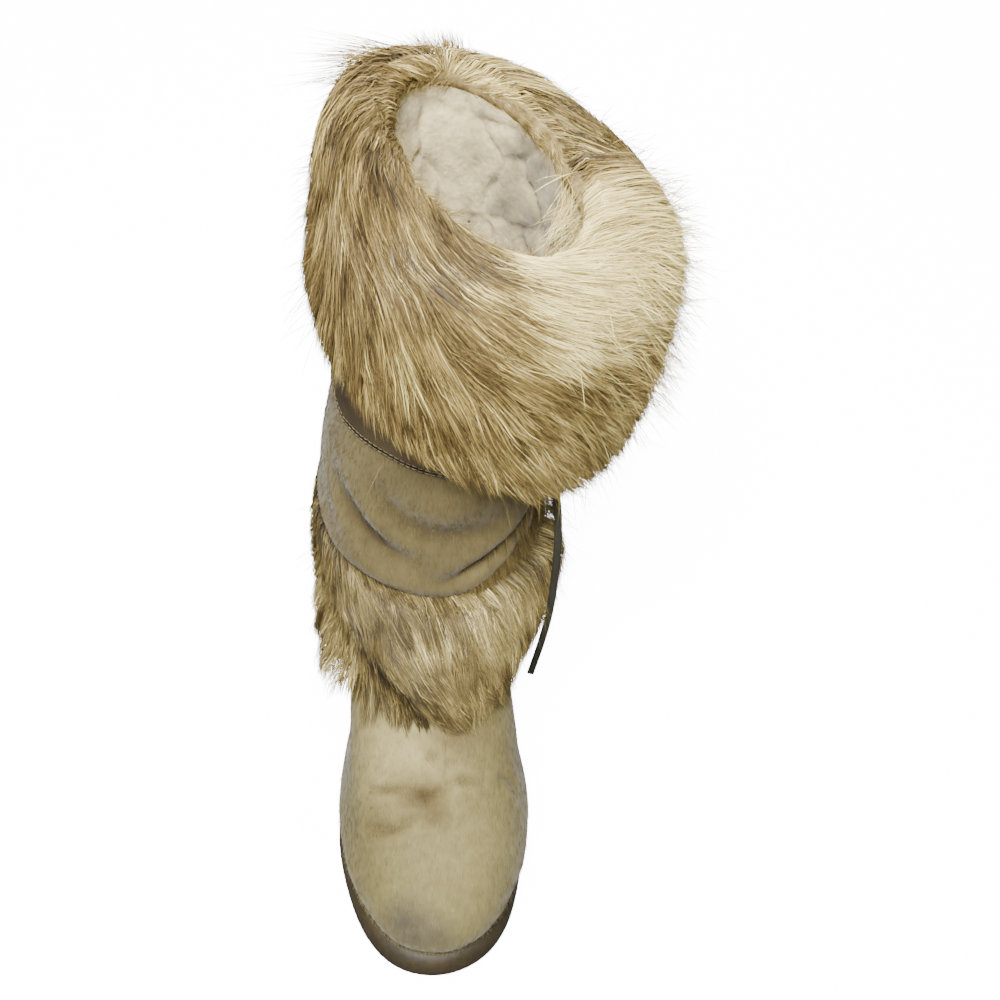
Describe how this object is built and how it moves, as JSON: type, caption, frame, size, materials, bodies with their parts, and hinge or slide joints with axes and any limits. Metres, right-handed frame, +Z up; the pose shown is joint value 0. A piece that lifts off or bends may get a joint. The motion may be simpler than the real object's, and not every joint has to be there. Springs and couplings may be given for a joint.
{
  "type": "winter boot",
  "caption": "Slouched mid-calf winter boot in haired hide, with a long-fur collar, a fur ring at the ankle, a leather band with a tied lace end and a rubber sole.",
  "frame": {"origin": "middle of the heel's flat rest on the floor", "axes": "+Z up, the toe points to -Y, +X is the outer side of this left boot"},
  "size_m": [0.1645, 0.3235, 0.3562],
  "materials": {
    "rubber": "matte brown grey, worn",
    "fleece": "curled wool pile",
    "haired_hide": "short flat hair on hide",
    "long_fur": "long straight goat hair",
    "brown_leather": "smooth, satin",
    "dark_leather": "matte thong"
  },
  "bodies": {
    "root": {"outsole": "rubber", "insole": "fleece", "upper": "haired_hide", "ankle_fur": "long_fur", "collar_band": "brown_leather", "fur_collar": "long_fur", "lace_knot": "dark_leather", "lace_end": "dark_leather"}
  },
  "joints": []
}
